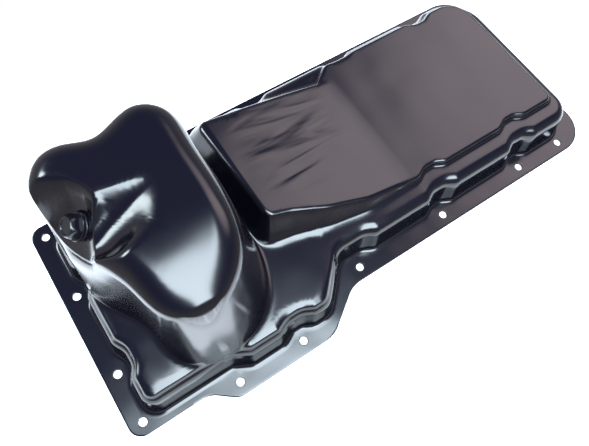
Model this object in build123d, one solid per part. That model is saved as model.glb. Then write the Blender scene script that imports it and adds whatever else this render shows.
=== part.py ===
from build123d import *
from math import cos, radians, sin
import os

# Engine oil pan, lying flange down as it does on a bench: sealing face at z = 0,
# deep sump at the -x end, shallow tray at the +x end, floor of the sump upward.
# All lengths are in millimetres and all angles in degrees.

# Sheet and flange
sheet = 1.5
flange_half_length = 292.5
flange_half_width = 138.6
tray_near_edge = -107.5
sump_near_edge = -120.7
sump_far_edge = 114.8
flange_corner = 13.0
tray_corner = 36.0
ear_start = -204.0
ear_end = -66.0
far_step = -166.0

# Bolt holes
hole_diameter = 8.0
hole_inset = 12.0
hole_pitch = 110.3
first_tray_hole = -28.4
last_tray_hole = 253.3
ear_holes = (-188.5, -118.1)
notch_hole = -195.0
sump_end_holes = (-109.0, -59.4, 28.0, 101.0)
tray_end_holes = (-34.0, 65.0)
sump_end_inset = 13.3

# Side wall of the pressing, measured at its foot on the flange
end_margin = 20.5
side_margin = 18.6
wall_draft = 7.0
tray_near_margin = 20.5
sump_near_margin = 10.0
foot_corner = 28.0
far_foot_corner = 48.0
sump_corner = 16.0
pocket_depth = 6.0
pocket_half_width = 6.0
pocket_run = 12.0
pocket_round = 14.0

# Shallow tray: bead level, floor level and their rounded edges
bead_height = 37.0
floor_height = 45.0
near_ledge = 22.5
far_ledge = 8.0
end_ledge = 14.5
bead_round = 10.0
floor_round = 3.5

# Ramp between tray and sump
ridge_height = 68.0
ramp_foot_x = 50.0
ridge_near_x = -92.0
ridge_far_x = -103.0
ramp_overlap = 60.0
ramp_step = 18.0

# Sump
sump_height = 178.0
sump_round = 18.0
dent_draft = 40.0

# Drain plug, its washer and the welded nut behind it
plug_seat = (-236.0, 14.0, 147.0)
plug_lean = 46.0
plug_swing = 174.0
plug_face_width = 58.0
plug_face_length = 84.0
plug_face_shift = (22.0, -4.0)
plug_face_draft = 52.0
plug_face_corner = 14.0
plug_cut_height = 60.0
thread_diameter = 14.0
thread_pitch = 1.5
shank_length = 16.0
hex_across_flats = 17.0
hex_height = 8.0
collar_diameter = 23.0
collar_height = 2.5
washer_diameter = 22.0
washer_height = 1.5
nut_across_flats = 22.0
nut_height = 9.0
running_gap = 0.25
plug_hole_gap = 0.75

# Places that follow from the sizes above
end_foot = flange_half_length - end_margin
far_foot = flange_half_width - side_margin
near_foot = tray_near_edge + tray_near_margin
sump_near_foot = sump_near_edge + sump_near_margin
sump_far_foot = sump_far_edge - side_margin
ear_foot = -flange_half_width + side_margin
tray_holes = [first_tray_hole + hole_pitch * i for i in range(3)]
plug_axis = (
    sin(radians(plug_lean)) * cos(radians(plug_swing)),
    sin(radians(plug_lean)) * sin(radians(plug_swing)),
    cos(radians(plug_lean)),
)
plug_plane = Plane(origin=plug_seat, x_dir=(-cos(radians(plug_lean)), 0, -sin(radians(plug_lean))), z_dir=plug_axis)


def plate(rows):
    """Flat face whose outline has the corners in rows: x, y and corner radius."""
    points = [(x, y) for x, y, radius in rows]
    radii = [radius for x, y, radius in rows]
    return make_face(FilletPolyline(*points, radius=radii, close=True))


def pocket(x, y, along, inward):
    """Corners of a bolt pocket, where the wall steps inward round a bolt."""
    rows = []
    reach = pocket_half_width + pocket_run
    for run, depth in ((-reach, 0), (-pocket_half_width, pocket_depth),
                       (pocket_half_width, pocket_depth), (reach, 0)):
        px = x + along[0] * run + inward[0] * depth
        py = y + along[1] * run + inward[1] * depth
        rows.append((px, py, pocket_round))
    return rows


def flange_rows():
    """Corners of the flange, from the far left one round by the near side."""
    left = -flange_half_length
    right = flange_half_length
    return [
        (left, sump_far_edge, flange_corner),
        (left, sump_near_edge, flange_corner),
        (ear_start - 14, sump_near_edge, 22),
        (ear_start + 8, -flange_half_width, 18),
        (ear_end - 24, -flange_half_width, 34),
        (ear_end + 20, tray_near_edge, 30),
        (right, tray_near_edge, tray_corner),
        (right, flange_half_width, tray_corner),
        (far_step + 14, flange_half_width, 24),
        (far_step - 14, sump_far_edge, 24),
    ]


def foot_rows():
    """Corners of the wall's foot, from the far left one round by the near side."""
    left = -end_foot
    right = end_foot
    rows = [(left, sump_far_foot, sump_corner)]
    for y in reversed(sump_end_holes[1:3]):
        rows += pocket(left, y, (0, -1), (1, 0))
    rows += [
        (left, sump_near_foot, sump_corner),
        (-187, sump_near_foot, 14),
        (-169, ear_foot, 14),
    ]
    rows += pocket(ear_holes[1], ear_foot, (1, 0), (0, 1))
    rows += [
        (ear_end - 16, ear_foot, 22),
        (ear_end + 22, near_foot + pocket_depth, 16),
        (first_tray_hole + 12, near_foot + pocket_depth, pocket_round),
        (first_tray_hole + 24, near_foot, pocket_round),
    ]
    for x in tray_holes[1:]:
        rows += pocket(x, near_foot, (1, 0), (0, 1))
    rows.append((right, near_foot, foot_corner))
    rows.append((right, far_foot, far_foot_corner))
    for x in reversed(tray_holes):
        rows += pocket(x, far_foot, (-1, 0), (0, -1))
    rows += pocket(ear_holes[1], far_foot, (-1, 0), (0, -1))
    rows += [
        (far_step + 17, far_foot, 14),
        (far_step - 11, sump_far_foot, 14),
    ]
    return rows


def inset(rows, skin):
    """Face inside the outline given by rows, with its edge moved in by skin."""
    face = plate(rows)
    if skin:
        face = offset(face, amount=-skin)
    return face


def low_body(skin):
    """Low wall all round with its rounded bead."""
    wall = extrude(inset(foot_rows(), skin), bead_height - skin, taper=wall_draft)
    crest = wall.edges().filter_by_position(Axis.Z, bead_height - skin, bead_height - skin)
    return fillet(crest, bead_round - skin)


def tray_floor(skin):
    """Floor of the tray, one small step above the bead."""
    near = near_foot + near_ledge
    far = far_foot - far_ledge
    right = end_foot - end_ledge
    left = ramp_foot_x - ramp_overlap
    rows = [(left, far - ramp_step, 1), (left, near + pocket_depth, 1)]
    for x in tray_holes[1:]:
        rows += pocket(x, near, (1, 0), (0, 1))
    rows.append((right, near, foot_corner - end_ledge))
    rows.append((right, far, far_foot_corner - end_ledge))
    rows += pocket(tray_holes[2], far, (-1, 0), (0, -1))
    rows.append((ramp_foot_x + 12, far, pocket_round))
    rows.append((ramp_foot_x - 12, far - ramp_step, pocket_round))
    step = extrude(inset(rows, skin), floor_height - skin, taper=wall_draft)
    crest = step.edges().filter_by_position(Axis.Z, floor_height - skin, floor_height - skin)
    return fillet(crest, floor_round - skin / 2)


def ramp(skin):
    """Block that rises from the tray's floor to a ridge beside the sump."""
    ridge = [
        (ridge_far_x, 100, 8),
        (ridge_near_x, -23, 8),
        (-70, -24, 20),
        (-36, -37, 40),
        (4, -44, 40),
        (ramp_foot_x + 20, -40, 4),
        (ramp_foot_x + 20, 68, 4),
        (-46, 90, 40),
    ]
    base = [
        (ridge_far_x - 24, 113, 8),
        (ridge_near_x - 24, -70, 16),
        (-66, -78, 24),
        (-28, -78, 40),
        (4, -80, 40),
        (ramp_foot_x + 30, -76, 4),
        (ramp_foot_x + 30, 104, 4),
        (-46, 112, 40),
    ]
    block = loft([inset(base, skin), Pos(0, 0, ridge_height) * inset(ridge, skin)], ruled=True)
    rise = (ridge_height - floor_height) / (ramp_foot_x - ridge_near_x)
    slope = Plane(origin=(ramp_foot_x, 0, floor_height - skin), z_dir=(rise, 0, 1))
    return split(block, slope, keep=Keep.BOTTOM)


def ring(points, skin):
    """Face inside a smooth closed curve, its points moved in along the normal by skin."""
    moved = []
    for i, (x, y) in enumerate(points):
        before = Vector(*points[i - 1])
        after = Vector(*points[(i + 1) % len(points)])
        along = (after - before).normalized()
        moved.append((x + along.Y * skin, y - along.X * skin))
    return make_face(Spline(*moved, periodic=True))


def sump(skin):
    """Deep sump: a drafted wall from its foot to a smaller floor with a large round."""
    foot = [
        (-269, 38), (-265, 72), (-246, 88), (-216, 88), (-196, 82), (-178, 88),
        (-148, 92), (-114, 82), (-105, 38), (-106, -30), (-122, -82), (-152, -105),
        (-197, -109), (-224, -96), (-234, -52), (-262, -4),
    ]
    floor = [
        (-255, 36), (-250, 58), (-235, 71), (-216, 71), (-197, 65), (-179, 70),
        (-156, 75), (-139, 62), (-135, 30), (-136, -32), (-146, -68), (-166, -89),
        (-192, -98), (-213, -86), (-227, -50), (-247, -2),
    ]
    low = ring(foot, skin)
    high = Pos(0, 0, sump_height - skin) * ring(floor, skin)
    block = loft([low, high], ruled=True)
    crest = block.edges().filter_by_position(Axis.Z, sump_height - skin, sump_height - skin)
    return fillet(crest, sump_round - skin)


def facet(point, normal, skin):
    """Plane of one flat facet, moved inward by skin."""
    plane = Plane(origin=point, z_dir=normal)
    return plane.offset(-skin)


def plug_cut(skin):
    """Space over the sloping face that the drain plug sits on."""
    lean = radians(plug_face_draft)
    grow = 2 * skin * (1 - sin(lean)) / cos(lean)
    face = RectangleRounded(plug_face_length + grow, plug_face_width + grow, plug_face_corner)
    face = plug_plane.offset(-skin) * Pos(*plug_face_shift) * face
    return extrude(face, plug_cut_height, taper=-plug_face_draft)


def dent(skin):
    """Shallow hollow of two facets between the plug's face and the sump's floor."""
    rows = [
        (-266, 34),
        (-212, 32),
        (-156, 14),
        (-158, 4),
        (-182, -18),
        (-219, -42),
        (-266, -44),
    ]
    top = make_face(Polyline(*rows, close=True))
    top = offset(top, amount=skin / cos(radians(dent_draft)) + 0.01, kind=Kind.INTERSECTION)
    block = extrude(Pos(0, 0, sump_height + 4) * top, 27, dir=(0, 0, -1), taper=dent_draft)
    block = split(block, facet((-218, 14, 158), (-0.349, -0.046, 0.936), skin), keep=Keep.TOP)
    return split(block, facet((-218, 14, 158), (0.006, 0.39, 0.92), skin), keep=Keep.TOP)


def solid_form(skin):
    """Whole pressing as a solid, its outer surface moved in by skin."""
    well = sump(skin) - plug_cut(skin) - dent(skin)
    return low_body(skin) + tray_floor(skin) + ramp(skin) + well


def flange_holes():
    """Centres of all bolt holes in the flange."""
    near = tray_near_edge + hole_inset
    far = flange_half_width - hole_inset
    left = -flange_half_length + sump_end_inset
    right = flange_half_length - hole_inset
    centres = [(left, y) for y in sump_end_holes]
    centres += [(x, -far) for x in ear_holes]
    centres += [(x, near) for x in tray_holes + [last_tray_hole]]
    centres += [(right, y) for y in tray_end_holes]
    centres += [(x, far) for x in [ear_holes[1]] + tray_holes + [last_tray_hole]]
    centres.append((notch_hole, sump_far_edge - hole_inset))
    return centres


def pan_shell():
    """Pressed pan: flange, hollow form and the holes through both."""
    flange = extrude(plate(flange_rows()), sheet)
    mouth = extrude(inset(foot_rows(), sheet), -1)
    shell = flange + solid_form(0) - solid_form(sheet) - mouth
    drill = Cylinder(hole_diameter / 2, 4 * sheet)
    shell -= [Pos(x, y, 0) * drill for x, y in flange_holes()]
    shell -= plug_plane * Cylinder(thread_diameter / 2 + plug_hole_gap, 4 * sheet)
    return shell


def weld_nut():
    """Hexagonal nut welded inside the sump behind the plug's hole."""
    block = extrude(RegularPolygon(nut_across_flats / 2, 6, major_radius=False), nut_height)
    block -= Cylinder(thread_diameter / 2 + running_gap, 3 * nut_height)
    return plug_plane.offset(-sheet - nut_height) * block


def washer():
    """Flat sealing washer between the pan and the plug's collar."""
    disc = Cylinder(washer_diameter / 2, washer_height, align=(Align.CENTER, Align.CENTER, Align.MIN))
    disc -= Cylinder(thread_diameter / 2 + running_gap, 3 * washer_height)
    return plug_plane * disc


def drain_plug():
    """Hexagon plug with a round collar and a shank that reaches through the nut."""
    low = (Align.CENTER, Align.CENTER, Align.MIN)
    high = (Align.CENTER, Align.CENTER, Align.MAX)
    collar = Cylinder(collar_diameter / 2, collar_height, align=low)
    head = extrude(RegularPolygon(hex_across_flats / 2, 6, major_radius=False), hex_height)
    dome = Cone(hex_across_flats / 2 + 4, hex_across_flats / 2 - 1, hex_height, align=low)
    head = Pos(0, 0, collar_height) * (head & dome)
    shank = Cylinder(thread_diameter / 2, shank_length, align=high)
    shank = chamfer(shank.edges().sort_by(Axis.Z)[0], thread_pitch)
    return plug_plane.offset(washer_height) * (collar + head + shank)


os.makedirs("parts", exist_ok=True)
export_step(pan_shell(), "parts/pan_shell.step")
export_step(weld_nut(), "parts/weld_nut.step")
export_step(washer(), "parts/sealing_washer.step")
export_step(drain_plug(), "parts/drain_plug.step")
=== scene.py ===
import math

import bpy
import numpy as np
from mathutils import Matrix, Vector


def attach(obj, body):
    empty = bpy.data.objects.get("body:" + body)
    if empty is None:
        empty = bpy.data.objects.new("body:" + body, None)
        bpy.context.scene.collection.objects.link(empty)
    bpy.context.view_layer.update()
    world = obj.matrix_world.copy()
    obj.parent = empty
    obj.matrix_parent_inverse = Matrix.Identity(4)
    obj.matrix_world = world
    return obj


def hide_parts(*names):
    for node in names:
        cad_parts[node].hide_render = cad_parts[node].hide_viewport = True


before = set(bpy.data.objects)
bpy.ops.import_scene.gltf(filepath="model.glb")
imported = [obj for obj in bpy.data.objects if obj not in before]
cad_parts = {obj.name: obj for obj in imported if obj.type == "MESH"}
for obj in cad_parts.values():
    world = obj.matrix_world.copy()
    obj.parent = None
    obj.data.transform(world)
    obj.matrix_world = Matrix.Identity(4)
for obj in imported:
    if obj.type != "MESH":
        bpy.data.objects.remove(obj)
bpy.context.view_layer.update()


# Pan shell: one sheet of steel, drawn in several hits into flange, scalloped wall, ledge, shallow
# tray, ramp and deep sump, then punched and painted a thin semi-gloss black. It is worked out in mm
# as a height over the flange's sealing face, and closed by an underside one sheet further in.
sheet = 1.5
flange_x, flange_near_y, flange_far_y, ear_y = 292.5, -107.5, 138.6, -138.6
sump_end_near_y, sump_end_far_y = -120.7, 114.8
wall_x, wall_near_y, wall_far_y, ear_wall_y = 272, -87, 120, -120
sump_wall_near_y, sump_wall_far_y = -110.7, 96.2
tray_near_y, tray_far_y = -59, 106.5
tray_bolts = (192.2, 81.9)
ear_bolt, sump_far_bolt, sump_bolts = -118.1, -28.4, (28, -59.4)

wall_draft = math.radians(7)
wall_cos = math.sin(wall_draft)
foot_round = 3.5
ledge_height, ledge_round = 37.0, 10.0
tray_rise = 8.0
ramp_start_x, ramp_fall = 50, 0.162
ramp_cos = 1 / math.sqrt(1 + ramp_fall ** 2)
sump_height = 178
steepest_slope, steepest_round = 12.0, 9.0
steepest_cos = 1 / math.sqrt(1 + steepest_slope ** 2)

plug_lean, plug_swing = math.radians(46), math.radians(174)
plug_axis = np.array([
    math.sin(plug_lean) * math.cos(plug_swing), math.sin(plug_lean) * math.sin(plug_swing),
    math.cos(plug_lean)])
plug_seat = np.array([-236.0, 14.0, 147.0])
recess_wall, recess_soft, recess_round = 1.8, 3.0, 9.0
rim_start_y, rim_slope, rim_round = -70, 0.30, 12.0
dent_bottom, dent_fold, dent_round = (-209, -4, 164), 6.0, 5.0
dent_cos, dent_wall, dent_wall_top = 0.93, 1.1, 181
dent_wall_cos = 1 / math.sqrt(1 + dent_wall ** 2)


def rounded(rows, step=4.0):
    """Closed line through corners (x, y, radius), each corner replaced by an arc of its radius."""
    corners = np.array(rows, float)
    points = []
    for corner, last, after in zip(corners, np.roll(corners, 1, 0), np.roll(corners, -1, 0)):
        into = corner[:2] - last[:2]
        into /= np.linalg.norm(into)
        out = after[:2] - corner[:2]
        out /= np.linalg.norm(out)
        turn = math.atan2(into[0] * out[1] - into[1] * out[0], into @ out)
        start = corner[:2] - into * corner[2] * math.tan(abs(turn) / 2)
        centre = start + np.array([-into[1], into[0]]) * corner[2] * np.sign(turn)
        angles = np.linspace(0, turn, max(2, int(abs(turn) / math.radians(step)) + 1))
        arm = start - centre
        points.append(np.stack([
            centre[0] + arm[0] * np.cos(angles) - arm[1] * np.sin(angles),
            centre[1] + arm[0] * np.sin(angles) + arm[1] * np.cos(angles)], 1))
    return np.concatenate(points)


def closed_curve(points, count):
    """Evenly spaced rows on the closed cubic spline through the points; extra columns go along."""
    p = np.array(points, float)
    n = len(p)
    gap = np.linalg.norm(np.roll(p[:, :2], -1, 0) - p[:, :2], axis=1)
    matrix = np.zeros((n, n))
    right = np.zeros_like(p)
    for i in range(n):
        j, k = (i - 1) % n, (i + 1) % n
        matrix[i, j] += gap[j]
        matrix[i, i] += 2 * (gap[j] + gap[i])
        matrix[i, k] += gap[i]
        right[i] = 6 * ((p[k] - p[i]) / gap[i] - (p[i] - p[j]) / gap[j])
    bend = np.linalg.solve(matrix, right)
    along = np.concatenate([[0], np.cumsum(gap)])
    place = np.linspace(0, along[-1], count, endpoint=False)
    i = np.searchsorted(along, place, side="right") - 1
    k = (i + 1) % n
    u = (place - along[i])[:, None]
    w = gap[i][:, None]
    return (bend[i] * (w - u) ** 3 / (6 * w) + bend[k] * u ** 3 / (6 * w)
            + (p[i] / w - bend[i] * w / 6) * (w - u) + (p[k] / w - bend[k] * w / 6) * u)


def pocket(x, y, along):
    """Corners of a dent in the wall round a bolt, on an outline that has the pan on its left."""
    inward = (-along[1], along[0])
    return [(x + along[0] * run + inward[0] * deep, y + along[1] * run + inward[1] * deep, 14)
            for run, deep in ((-18, 0), (-6, 6), (6, 6), (18, 0))]


to_near, to_right, to_left = (0, -1), (1, 0), (-1, 0)
flange_line = rounded([
    (-flange_x, sump_end_far_y, 13), (-flange_x, sump_end_near_y, 13), (-218, sump_end_near_y, 22),
    (-196, ear_y, 18), (-90, ear_y, 34), (-46, flange_near_y, 30), (flange_x, flange_near_y, 36),
    (flange_x, flange_far_y, 36), (-152, flange_far_y, 24), (-180, sump_end_far_y, 24)])
foot_rows = [(-wall_x, sump_wall_far_y, 16)]
for bolt_y in sump_bolts:
    foot_rows += pocket(-wall_x, bolt_y, to_near)
foot_rows += [(-wall_x, sump_wall_near_y, 16), (-187, sump_wall_near_y, 14), (-169, ear_wall_y, 14)]
foot_rows += pocket(ear_bolt, ear_wall_y, to_right)
foot_rows += [(-82, ear_wall_y, 22), (-44, -81, 16), (-16.4, -81, 14), (-4.4, wall_near_y, 14)]
for bolt_x in tray_bolts[::-1]:
    foot_rows += pocket(bolt_x, wall_near_y, to_right)
foot_rows += [(wall_x, wall_near_y, 28), (wall_x, wall_far_y, 48)]
for bolt_x in (*tray_bolts, sump_far_bolt, ear_bolt):
    foot_rows += pocket(bolt_x, wall_far_y, to_left)
foot_line = rounded(foot_rows + [(-149, wall_far_y, 14), (-177, sump_wall_far_y, 14)])
tray_rows = [(-20, 88.5, 4), (-20, -53, 4)]
for bolt_x in tray_bolts[::-1]:
    tray_rows += pocket(bolt_x, tray_near_y, to_right)
tray_rows += [(252, tray_near_y, 8), (252, tray_far_y, 28)] + pocket(tray_bolts[0], tray_far_y, to_left)
tray_line = rounded(tray_rows + [(62, tray_far_y, 14), (38, 88.5, 14)])
ramp_line = rounded([
    (-100, 97, 8), (-94, -22, 9), (-72, -28, 22), (-37, -42, 40), (4, -53, 40), (60, -57, 4),
    (75, -50, 4), (75, 80, 4), (49.5, 88, 20), (5, 92, 30), (-46, 95, 40)])
# the sump's crest; the third column is how far its wall runs outwards on the way down
sump_line = closed_curve([
    (-255, 36, 14), (-250, 58, 17), (-235, 71, 18), (-216, 71, 17), (-197, 65, 17), (-179, 70, 18),
    (-156, 75, 18), (-139, 62, 28), (-135, 30, 30), (-136, -32, 30), (-146, -68, 26), (-166, -89, 20),
    (-192, -98, 11), (-213, -86, 13), (-227, -50, 7), (-247, -2, 14)], 260)
recess_line = rounded([
    (-221, 14, 7), (-240, -21, 8), (-258, -15, 8), (-292, 0, 8), (-290, 31, 8), (-250, 33, 8), (-232, 30, 6),
    (-224, 23, 5)], 12)
dent_line = rounded([
    (-266, 14, 3), (-212, 14, 8), (-158, 5, 4), (-164, -8, 6), (-194, -27, 16), (-222, -40, 10),
    (-266, -42, 3)], 12)


def depth(x, y, line):
    """Distance of each point to a closed line, positive inside, and the line's third column there."""
    a = line[:, :2].astype(np.float32)
    d = np.roll(a, -1, 0) - a
    b = a + d
    size = np.maximum((d ** 2).sum(1), 1e-9)
    rise = np.where(np.abs(d[:, 1]) < 1e-9, 1e-9, d[:, 1])
    flat_x, flat_y = x.ravel().astype(np.float32), y.ravel().astype(np.float32)
    result = np.empty(len(flat_x), np.float32)
    extra = np.zeros(len(flat_x), np.float32)
    value = line[:, 2] if line.shape[1] > 2 else np.zeros(len(line))
    batch = 6000
    for start in range(0, len(flat_x), batch):
        px = flat_x[start:start + batch, None]
        py = flat_y[start:start + batch, None]
        ax, ay = px - a[:, 0], py - a[:, 1]
        along = np.clip((ax * d[:, 0] + ay * d[:, 1]) / size, 0, 1)
        gap = (ax - along * d[:, 0]) ** 2 + (ay - along * d[:, 1]) ** 2
        best = gap.argmin(1)
        rows = np.arange(len(best))
        crossed = ((a[:, 1] > py) != (b[:, 1] > py)) & (px < d[:, 0] * ay / rise + a[:, 0])
        inside = crossed.sum(1) % 2 == 1
        near = np.sqrt(gap[rows, best])
        result[start:start + batch] = np.where(inside, near, -near)
        part = along[rows, best]
        extra[start:start + batch] = value[best] * (1 - part) + np.roll(value, -1)[best] * part
    return result.reshape(x.shape).astype(float), extra.reshape(x.shape).astype(float)


def round_min(a, b, a_cos, b_cos, radius):
    """Lower of two heights, their edge a circle that touches both; a_cos, b_cos: cosines of their lean."""
    p = radius - a_cos * a
    q = radius - b_cos * b
    square = a_cos ** 2 + b_cos ** 2
    half = p * a_cos + q * b_cos
    root = np.sqrt(np.maximum(half ** 2 - square * (p ** 2 + q ** 2 - radius ** 2), 0))
    z = (root - half) / square
    return np.where((p + a_cos * z > 0) & (q + b_cos * z > 0), z, np.minimum(a, b))


def round_max(a, b, a_cos, b_cos, radius):
    """Higher of two heights, their inner corner rounded in the same way."""
    return -round_min(-a, -b, a_cos, b_cos, radius)


def drawn_form(d, slope, height, crest, foot):
    """Height of a raised form at depth d inside its crest line.

    A flat top, an arc of radius crest, a straight side of that slope and an arc of radius foot.
    """
    lean = np.arctan(slope)
    crest_end = crest * np.tan(lean / 2)
    foot_end = -height / slope - foot * np.tan(lean / 2)
    level = np.clip(height + slope * d, 0, height)
    arc = height - crest + np.sqrt(np.maximum(crest ** 2 - (d - crest_end) ** 2, 0))
    level = np.where((d > crest_end - crest * np.sin(lean)) & (d < crest_end), arc, level)
    arc = foot - np.sqrt(np.maximum(foot ** 2 - (d - foot_end) ** 2, 0))
    return np.where((d > foot_end) & (d < foot_end + foot * np.sin(lean)), arc, level)


def tilted(x, y, through, slope_x, slope_y):
    """Heights of the plane through a point with two slopes, and the cosine of its lean."""
    heights = through[2] + slope_x * (x - through[0]) + slope_y * (y - through[1])
    return heights, 1 / math.sqrt(1 + slope_x ** 2 + slope_y ** 2)


def pan_height(x, y):
    """Height of the sheet's outer face at points in plan, and their depth inside the wall's foot.

    Ledge, tray, ramp and sump are raised forms over their own outlines, and the higher one counts.
    The plug's recess, the slope of the near rim and the dent are planes that cut the sump down.
    """
    level = np.zeros_like(x)
    d_foot, _ = depth(x, y, foot_line)
    ledge = round_min(d_foot / math.tan(wall_draft), level + ledge_height, wall_cos, 1.0, ledge_round)
    d_tray, _ = depth(x, y, tray_line)
    tray = drawn_form(d_tray, slope=5.0, height=tray_rise, crest=3.5, foot=5.0)
    d_ramp, _ = depth(x, y, ramp_line)
    ramp_rise = np.maximum(tray_rise + np.clip(ramp_start_x - x, -60, 142) * ramp_fall, 2)
    ramp = drawn_form(d_ramp, slope=1.7, height=ramp_rise, crest=6.0, foot=10.0)
    body = round_max(tray, ramp, 1.0, ramp_cos, 1.5)
    d_sump, run = depth(x, y, sump_line)
    sump_slope = sump_height / run
    sump_cos = 1 / np.sqrt(1 + sump_slope ** 2)
    sump = drawn_form(d_sump, slope=sump_slope, height=sump_height - ledge_height, crest=20.0, foot=8.0)
    body = round_max(body, sump, 0.9, sump_cos, 3.0)

    steepest = steepest_slope * np.maximum(d_foot - 0.5, 0)
    side_cos = np.where(d_sump > 0, 1.0, sump_cos)
    held = round_min(body, steepest, side_cos, steepest_cos, steepest_round)
    body = np.where(d_sump > -90, held, np.minimum(body, steepest))
    z = ledge + np.maximum(body, 0)

    recess, recess_cos = tilted(
        x, y, plug_seat, -plug_axis[0] / plug_axis[2], -plug_axis[1] / plug_axis[2])
    d_recess, _ = depth(x, y, recess_line)
    recess = recess + recess_wall * (np.sqrt(d_recess ** 2 + recess_soft ** 2) - d_recess)
    side_cos = np.where(steepest < sump, steepest_cos, side_cos)
    cut = round_min(z, recess, side_cos, recess_cos, recess_round)
    z = np.where((x < -190) & (z > 60), cut, z)
    rim, rim_cos = tilted(x, y, (0, rim_start_y, sump_height), 0, rim_slope)
    z = np.where(x < -140, round_min(z, rim, 1.0, rim_cos, rim_round), z)
    shallow, shallow_cos = tilted(x, y, dent_bottom, 0.30, -0.10)
    steep, steep_cos = tilted(x, y, dent_bottom, 0.50, -0.17)
    dent = round_max(shallow, steep, shallow_cos, steep_cos, dent_fold)
    d_dent, _ = depth(x, y, dent_line)
    dent = round_max(dent, dent_wall_top - dent_wall * d_dent, dent_cos, dent_wall_cos, dent_round)
    z = np.where((x < -140) & (z > 120), round_min(z, dent, 1.0, dent_cos, dent_round), z)
    return round_max(z, level + sheet, wall_cos, 1.0, foot_round), d_foot


# lines of the mesh: straight in plan, from the flange's edge to a spine down the middle of the pan,
# and fanned out from the spine's two ends; closest together where the sump runs into the ramp
left_pole, right_pole = np.array([-180.0, -38.0]), np.array([195.0, 15.0])


def spread(places, density, count):
    """Positions from the first place to the last, closer together where the density is higher."""
    fine = np.linspace(places[0], places[-1], 4000)
    total = np.concatenate([[0], np.cumsum(np.interp(fine[1:], places, density))])
    return np.interp(np.linspace(0, total[-1], count), total, fine)


line_x = spread([left_pole[0], -154, -150, -86, -80, right_pole[0]], [1, 1, 2.6, 2.6, 1, 1], 285)
ring = np.roll(flange_line, -int(flange_line[:, 0].argmin()), 0)
ring = np.concatenate([ring, ring[:1]])
ring_run = np.concatenate([[0], np.cumsum(np.linalg.norm(np.diff(ring, axis=0), axis=1))])
edge_run = np.linspace(0, ring_run[-1], 6001)[:-1]
edge = np.stack([np.interp(edge_run, ring_run, ring[:, 0]), np.interp(edge_run, ring_run, ring[:, 1])], 1)


def edge_at(x, side):
    """Points of the flange's edge at each x, on the side that has this sign of y."""
    half = edge[(edge[:, 1] * side > 0) & (edge[:, 0] > -285) & (edge[:, 0] < 250)]
    half = half[half[:, 0].argsort(kind="stable")]
    return np.stack([x, np.interp(x, half[:, 0], half[:, 1])], 1)


def fan(start, end, count, centre):
    """Points along the flange's edge from start round to end, counterclockwise, without both ends."""
    angle = np.arctan2(edge[:, 1] - centre[1], edge[:, 0] - centre[0])
    first = math.atan2(start[1] - centre[1], start[0] - centre[0])
    last = math.atan2(end[1] - centre[1], end[0] - centre[0])
    turn = (angle - first) % (2 * math.pi)
    between = turn < (last - first) % (2 * math.pi)
    chosen = edge[between][turn[between].argsort()]
    run = np.concatenate([[0], np.cumsum(np.linalg.norm(np.diff(chosen, axis=0), axis=1))])
    place = np.linspace(0, run[-1], count + 2)[1:-1]
    return np.stack([np.interp(place, run, chosen[:, 0]), np.interp(place, run, chosen[:, 1])], 1)


near_start, far_start = edge_at(line_x, -1), edge_at(line_x, 1)
right_fan = fan(near_start[-1], far_start[-1], 168, right_pole)
left_fan = fan(far_start[0], near_start[0], 268, left_pole)
spine = np.stack([
    line_x, np.interp(line_x, [left_pole[0], right_pole[0]], [left_pole[1], right_pole[1]])], 1)
starts = np.concatenate([near_start, right_fan, far_start[::-1], left_fan])
ends = np.concatenate([
    spine, np.repeat(right_pole[None], len(right_fan), 0), spine[::-1],
    np.repeat(left_pole[None], len(left_fan), 0)])
lines = len(starts)
reach = ends - starts
length = np.linalg.norm(reach, axis=1)

# rows of the mesh along each line: a few over the flat flange, the rest where the sheet climbs or
# bends, evened out between neighbouring lines
flange_rows, all_rows = 8, 60
flange_edge_round, flange_margin, bend_weight = 0.35, 3.4, 26.0
fine = np.linspace(0, 1, 400)
x = starts[:, :1] + reach[:, :1] * fine
y = starts[:, 1:] + reach[:, 1:] * fine
z, d_foot = pan_height(x, y)
flange_end = np.empty(lines)
for i, k in enumerate((d_foot > -flange_margin).argmax(1)):
    span = slice(max(k - 1, 0), k + 1)
    flange_end[i] = np.interp(-flange_margin, d_foot[i, span], fine[span])
climb = np.diff(z, axis=1)
advance = np.diff(fine) * length[:, None]
bend = np.abs(np.diff(np.arctan2(climb, advance), axis=1))
weight = np.hypot(advance, climb) + bend_weight * np.concatenate([bend[:, :1], bend], 1)
weight[fine[None, 1:] < flange_end[:, None]] = 0
total = np.concatenate([np.zeros((lines, 1)), np.cumsum(weight, 1)], 1)
share = np.linspace(0, 1, all_rows - flange_rows + 1)[1:]
rows = np.empty((lines, all_rows))
for i in range(lines):
    edge_rows = np.array([0, flange_edge_round, 1.6]) / length[i]
    rows[i, :3] = edge_rows
    rows[i, 3:flange_rows] = np.linspace(edge_rows[2], flange_end[i], flange_rows - 2)[1:]
    going = np.concatenate([[True], np.diff(total[i]) > 1e-9])
    rows[i, flange_rows:] = np.interp(share * total[i, -1], total[i][going], fine[going])
kernel = np.exp(-0.5 * (np.arange(-6, 7) / 2.2) ** 2)
kernel /= kernel.sum()
padded = np.concatenate([rows[-6:], rows, rows[:6]])
rows = sum(k * padded[i:i + lines] for i, k in enumerate(kernel))
rows[:, -1] = 1
x = starts[:, :1] + reach[:, :1] * rows
y = starts[:, 1:] + reach[:, 1:] * rows
z, _ = pan_height(x, y)
z[:, :flange_rows] = sheet
z[:, 0] = sheet - flange_edge_round
top = np.stack([x, y, z], 2)

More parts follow.
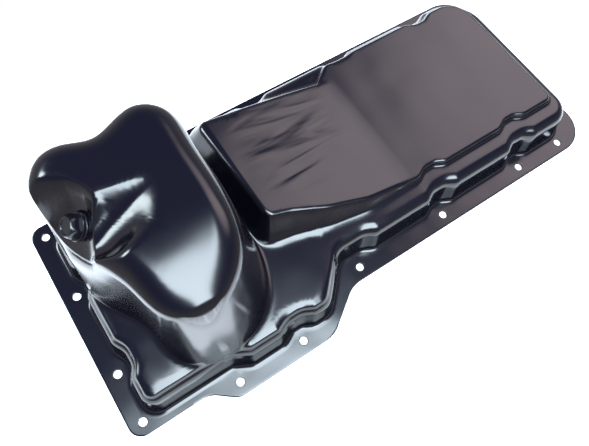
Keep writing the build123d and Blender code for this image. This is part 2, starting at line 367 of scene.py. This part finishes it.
# underside: every second row inside the flange, moved in along the normal by the sheet
normal = np.cross(np.roll(top, -1, 0) - np.roll(top, 1, 0), np.gradient(top, axis=1))
normal /= np.maximum(np.linalg.norm(normal, axis=2, keepdims=True), 1e-9)
normal *= np.where(normal[:, :, 2:] < 0, -1, 1)
normal[:, -1] = normal[:, -2]
kept = np.concatenate([np.arange(flange_rows), np.arange(flange_rows, all_rows - 1, 2), [all_rows - 1]])
under = top[:, kept] - sheet * normal[:, kept]
under[:, :flange_rows, :2] = top[:, :flange_rows, :2]
under[:, :flange_rows, 2] = 0
under[:, 0, 2] = flange_edge_round

# indices of both faces' vertices; lines that end at one point of the spine share that vertex
top_index = np.arange(lines * all_rows).reshape(lines, all_rows)
under_index = np.arange(lines * len(kept)).reshape(lines, len(kept)) + top_index.size
_, firsts, back = np.unique(np.round(ends, 6), axis=0, return_index=True, return_inverse=True)
for index in (top_index, under_index):
    index[:, -1] = index[firsts[back.ravel()], -1]

# bolt holes: the flange's cells round each one give way to rings of faces down through the sheet
hole_radius, hole_bevel, hole_ring, hole_clear = 4.0, 0.25, 4.7, 5.9
holes = ([(-279.2, hole_y) for hole_y in (-109, *sump_bolts, 101)]
         + [(hole_x, -126.6) for hole_x in (-188.5, ear_bolt)]
         + [(hole_x, -95.5) for hole_x in (sump_far_bolt, *tray_bolts, 253.3)]
         + [(280.5, hole_y) for hole_y in (-34, 65)]
         + [(hole_x, 126.6) for hole_x in (ear_bolt, sump_far_bolt, *tray_bolts, 253.3)] + [(-195, 102.8)])
hole_rings = (
    (hole_ring, sheet), (hole_radius + hole_bevel, sheet), (hole_radius, sheet - hole_bevel),
    (hole_radius, hole_bevel), (hole_radius + hole_bevel, 0.0), (hole_ring, 0.0))
points = [top.reshape(-1, 3), under.reshape(-1, 3)]
removed = np.zeros((lines, flange_rows), bool)
faces = []
count = top_index.size + under_index.size
for hole in holes:
    distance = np.linalg.norm(top[:, 2:flange_rows, :2] - hole, axis=2).min(1)
    middle = int(distance.argmin())
    beside = (np.flatnonzero(distance < hole_clear) - middle + lines // 2) % lines - lines // 2
    cut = (middle + np.arange(beside.min() - 1, beside.max() + 2)) % lines
    removed[cut[:-1], 2:flange_rows - 1] = True
    loop = ([(u, 2) for u in cut] + [(cut[-1], v) for v in range(3, flange_rows)]
            + [(u, flange_rows - 1) for u in cut[-2::-1]]
            + [(cut[0], v) for v in range(flange_rows - 2, 2, -1)])
    loop_u, loop_v = np.array(loop).T
    away = top[loop_u, loop_v, :2] - hole
    away /= np.linalg.norm(away, axis=1, keepdims=True)
    circles = [top_index[loop_u, loop_v]]
    for radius, level in hole_rings:
        points.append(np.concatenate([hole + away * radius, np.full((len(loop), 1), level)], 1))
        circles.append(np.arange(count, count + len(loop)))
        count += len(loop)
    circles.append(under_index[loop_u, loop_v])
    for a, b in zip(circles[:-1], circles[1:]):
        faces.append(np.stack([a, np.roll(a, -1), np.roll(b, -1), b], 1))


def grid_faces(index, flip):
    """Four-sided faces of a grid that is closed along its first direction, without the holes' cells."""
    after = np.roll(index, -1, 0)
    cells = np.stack([index[:, :-1], after[:, :-1], after[:, 1:], index[:, 1:]], 2)
    keep = np.ones(cells.shape[:2], bool)
    keep[:, :flange_rows] &= ~removed
    cells = cells[keep]
    return cells[:, ::-1] if flip else cells


faces.append(grid_faces(top_index, False))
faces.append(grid_faces(under_index, True))
outer, inner = top_index[:, 0], under_index[:, 0]
faces.append(np.stack([outer, inner, np.roll(inner, -1), np.roll(outer, -1)], 1))
used, corners = np.unique(np.concatenate(faces), return_inverse=True)
vertices = np.concatenate(points)[used] * 0.001
mesh = bpy.data.meshes.new("shell")
mesh.from_pydata(
    vertices.tolist(), [], [tuple(dict.fromkeys(face)) for face in corners.reshape(-1, 4).tolist()])
mesh.validate()
mesh.shade_smooth()
mesh.set_sharp_from_angle(angle=math.radians(50))
shell = bpy.data.objects.new("shell", mesh)
bpy.context.scene.collection.objects.link(shell)


def finish(name, values):
    """Material of one Principled surface with the given values of its sockets."""
    material = bpy.data.materials.new(name)
    material.use_nodes = True
    surface = material.node_tree.nodes["Principled BSDF"]
    for socket, value in values.items():
        surface.inputs[socket].default_value = value
    return material


def add_node(tree, kind, inputs, **settings):
    """New node; each input is set to a value or joined to another node's output."""
    node = tree.nodes.new(kind)
    for name, value in settings.items():
        setattr(node, name, value)
    for name, value in inputs.items():
        if isinstance(value, bpy.types.NodeSocket):
            tree.links.new(value, node.inputs[name])
        else:
            node.inputs[name].default_value = value
    return node


def edge_step(tree, value, low, high):
    """Smooth step of a node's value from 0 at low to 1 at high."""
    ends = {"Value": value, "From Min": low, "From Max": high}
    return add_node(tree, "ShaderNodeMapRange", ends, interpolation_type="SMOOTHSTEP").outputs["Result"]


def product(tree, a, b):
    """Product of two node values."""
    return add_node(tree, "ShaderNodeMath", {0: a, 1: b}, operation="MULTIPLY").outputs[0]


def band(tree, value, low, high):
    """1 between two edges and 0 beyond; low and high give each edge's outer and inner end."""
    return product(tree, edge_step(tree, value, *low), edge_step(tree, value, *high))


# paint, with the creases that the drawn sheet keeps on the ramp and the faint waviness of the rest
coat = finish("black_coat", {"Base Color": (0.0015, 0.0015, 0.003, 1), "IOR": 1.5, "Roughness": 0.17})
coat_tree = coat.node_tree
place = add_node(coat_tree, "ShaderNodeTexCoord", {}).outputs["Object"]
along_pan, across_pan, _ = add_node(coat_tree, "ShaderNodeSeparateXYZ", {"Vector": place}).outputs
on_ramp = product(
    coat_tree, band(coat_tree, along_pan, (-0.09, -0.045), (0.04, -0.005)),
    band(coat_tree, across_pan, (-0.03, 0.005), (0.10, 0.065)))
turned = add_node(
    coat_tree, "ShaderNodeMapping",
    {"Vector": place, "Rotation": (0, 0, math.radians(-20)), "Scale": (11, 44, 11)})
creases = add_node(
    coat_tree, "ShaderNodeTexNoise",
    {"Vector": turned.outputs["Vector"], "Scale": 1.0, "Detail": 1.5, "Distortion": 0.5})
crease_bump = add_node(
    coat_tree, "ShaderNodeBump", {"Strength": on_ramp, "Distance": 0.0032, "Height": creases.outputs["Fac"]})
waves = add_node(coat_tree, "ShaderNodeTexNoise", {"Vector": place, "Scale": 16.0, "Detail": 1.0})
wave_bump = add_node(
    coat_tree, "ShaderNodeBump",
    {"Strength": 1.0, "Distance": 0.0012, "Height": waves.outputs["Fac"],
     "Normal": crease_bump.outputs["Normal"]})
coat_tree.links.new(wave_bump.outputs["Normal"], coat_tree.nodes["Principled BSDF"].inputs["Normal"])
mesh.materials.append(coat)
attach(shell, "pan")
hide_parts("pan_shell")


# Welded nut: a plain steel hexagon, tapped for the plug and welded on behind the drain hole all
# round its edge. It is the CAD's own node, as only the pan's inside shows it.
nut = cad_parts["weld_nut"]
nut.data.materials.clear()
nut.data.materials.append(
    finish("bare_steel", {"Base Color": (0.42, 0.41, 0.40, 1), "Metallic": 1.0, "Roughness": 0.4}))


# Sealing washer: a ring stamped from soft metal, squeezed between the sump's sloping face and the
# plug's collar. It is the CAD's own node.
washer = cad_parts["sealing_washer"]
washer.data.materials.clear()
washer.data.materials.append(
    finish("washer_metal", {"Base Color": (0.30, 0.30, 0.32, 1), "Metallic": 1.0, "Roughness": 0.35}))


# Drain plug: a steel screw with a rolled thread, a round collar and a hexagon head with a shallow
# dish, coated black. It screws through the washer into the welded nut.
thread_radius, thread_deep, thread_pitch = 7.0, 0.92, 1.5
shank_end, relief_start, relief_radius = -14.5, -1.2, 6.3
collar_base, collar_top, collar_radius, collar_bevel = 1.5, 4.0, 11.5, 0.4
head_top, half_flats, chamfer_radius, chamfer_fall = 12.0, 8.5, 12.5, 0.625
dish_share, dish_floor_share, dish_deep = 0.82, 0.9, 0.7
steps_round = 72


def plug_radius(z, around):
    """Radius in mm at height z over the seat and at an angle round the axis.

    The thread falls from its crest by a share of its depth that swings with the height in pitches
    less the turn. The collar is a cylinder with two bevels. The head is a hexagon, whose radius is
    half the flats over the cosine of the angle from a flat's middle, under a cone.
    """
    phase = (z / thread_pitch - around / (2 * np.pi)) % 1
    thread = thread_radius - thread_deep * np.abs(2 * phase - 1)
    thread = np.where(z > relief_start, relief_radius, thread)
    thread = np.minimum(thread, thread_radius - thread_pitch + np.maximum(z - shank_end, 0))
    bevel = np.minimum(z - collar_base, collar_top - z)
    collar = np.minimum(collar_radius, collar_radius - collar_bevel + bevel)
    sixth = np.pi / 3
    flats = half_flats / np.cos(np.abs((around % sixth) - sixth / 2))
    head = np.minimum(flats, chamfer_radius - chamfer_fall * (z - collar_top))
    return np.where(z < collar_base, thread, np.where(z < collar_top, collar, head))


thread_levels = np.linspace(shank_end, relief_start - 0.1, 89)
collar_levels = [-1.1, 1.499, collar_base, 1.9, 3.6, 3.999]
head_levels = [collar_top, 5.5, 7.0, 8.5, 10.0, 11.5, head_top]
around = np.linspace(0, 2 * np.pi, steps_round, endpoint=False)
level_grid, around_grid = np.meshgrid(
    np.concatenate([thread_levels, collar_levels, head_levels]), around, indexing="ij")
radius_grid = plug_radius(level_grid, around_grid)
dish_edge = radius_grid[-1] * dish_share
radius_grid = np.concatenate([radius_grid, dish_edge[None], dish_edge[None] * dish_floor_share])
level_grid = np.concatenate([level_grid, np.full((2, steps_round), head_top) - [[0.0], [dish_deep]]])
around_grid = np.concatenate([around_grid, around_grid[:2]])
plug_side = np.cross(plug_axis, [0, 1, 0])
plug_side /= np.linalg.norm(plug_side)
plug_other = np.cross(plug_axis, plug_side)
plug_points = (plug_seat + level_grid[..., None] * plug_axis
               + (radius_grid * np.cos(around_grid))[..., None] * plug_side
               + (radius_grid * np.sin(around_grid))[..., None] * plug_other)
plug_index = np.arange(level_grid.size).reshape(level_grid.shape)
plug_next = np.roll(plug_index, -1, 1)
plug_quads = np.stack([plug_index[:-1], plug_next[:-1], plug_next[1:], plug_index[1:]], 2).reshape(-1, 4)
plug_mesh = bpy.data.meshes.new("plug")
plug_mesh.from_pydata(
    (plug_points.reshape(-1, 3) * 0.001).tolist(), [],
    plug_quads.tolist() + [plug_index[0, ::-1].tolist(), plug_index[-1].tolist()])
plug_mesh.shade_smooth()
plug_mesh.set_sharp_from_angle(angle=math.radians(28))
plug_mesh.materials.append(
    finish("plug_metal", {"Base Color": (0.004, 0.004, 0.007, 1), "IOR": 1.5, "Roughness": 0.24}))
plug = bpy.data.objects.new("plug", plug_mesh)
bpy.context.scene.collection.objects.link(plug)
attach(plug, "plug")
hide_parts("drain_plug")


# Setting: the photo's camera, a sheet of white paper under the pan, and a room that only the paint
# reflects: a dim wall, a large window overhead and two smaller lights. The camera sees white.
camera_data = bpy.data.cameras.new("camera")
camera_data.sensor_fit = "HORIZONTAL"
camera_data.sensor_width = 36.0
camera_data.lens = 34.23
camera_data.clip_end = 20.0
camera = bpy.data.objects.new("camera", camera_data)
camera.location = (-0.21044, -0.20042, 0.53565)
camera.rotation_euler = [math.radians(angle) for angle in (23.7390, -2.9423, -33.4390)]
bpy.context.scene.collection.objects.link(camera)
bpy.context.scene.camera = camera

floor_z = -0.0006
floor_mesh = bpy.data.meshes.new("floor")
floor_mesh.from_pydata(
    [(x, y, floor_z) for x, y in ((-0.42, -0.42), (0.62, -0.42), (0.62, 0.36), (-0.42, 0.36))], [],
    [(0, 1, 2, 3)])
floor_mesh.materials.append(finish("paper", {
    "Base Color": (0.9, 0.9, 0.9, 1), "Roughness": 1.0, "Specular IOR Level": 0.0,
    "Emission Color": (1, 1, 1, 1), "Emission Strength": 0.5}))
floor = bpy.data.objects.new("floor", floor_mesh)
bpy.context.scene.collection.objects.link(floor)

room = bpy.data.worlds.new("room")
bpy.context.scene.world = room
room.use_nodes = True
tree = room.node_tree
tree.nodes.clear()
direction = add_node(tree, "ShaderNodeTexCoord", {}).outputs["Generated"]
toward_x, toward_y, toward_z = add_node(tree, "ShaderNodeSeparateXYZ", {"Vector": direction}).outputs


def add_light(total, amount, colour):
    """Colour sum with one more lit area of the room."""
    mix = add_node(
        tree, "ShaderNodeMix", {"Factor": amount, "A": total, "B": colour},
        data_type="RGBA", blend_type="ADD", clamp_factor=False)
    return mix.outputs["Result"]


def lamp(centre, inner, outer):
    """Round lit area about a direction; inner and outer are cosines of its edge."""
    cosine = add_node(
        tree, "ShaderNodeVectorMath", {0: direction, 1: Vector(centre).normalized()},
        operation="DOT_PRODUCT")
    return edge_step(tree, cosine.outputs["Value"], outer, inner)


walls = add_node(tree, "ShaderNodeValToRGB", {"Fac": toward_z})
wall_colours = ((0.1, (0.55, 0.53, 0.58, 1)), (0.75, (0.17, 0.18, 0.42, 1)))
for element, (position, colour) in zip(walls.color_ramp.elements, wall_colours):
    element.position = position
    element.color = colour
window = product(
    tree, band(tree, toward_x, (-0.16, -0.11), (0.26, 0.20)),
    band(tree, toward_y, (-0.80, -0.70), (0.19, 0.10)))
window = product(tree, window, edge_step(tree, toward_z, 0.0, 0.2))
lit = add_light(walls.outputs["Color"], window, (17, 20, 22, 1))
lit = add_light(lit, lamp((-0.477, 0.603, 0.637), 0.99, 0.975), (18, 21, 22, 1))
lit = add_light(lit, lamp((0.66, 0.25, 0.71), 0.995, 0.93), (3.4, 2.9, 2.9, 1))
reflected = add_node(tree, "ShaderNodeBackground", {"Color": lit})
white = add_node(tree, "ShaderNodeBackground", {"Color": (1, 1, 1, 1)})
seen = add_node(tree, "ShaderNodeLightPath", {}).outputs["Is Camera Ray"]
choice = add_node(
    tree, "ShaderNodeMixShader", {"Fac": seen, 1: reflected.outputs[0], 2: white.outputs[0]})
add_node(tree, "ShaderNodeOutputWorld", {"Surface": choice.outputs[0]})
bpy.context.scene.view_settings.view_transform = "Standard"
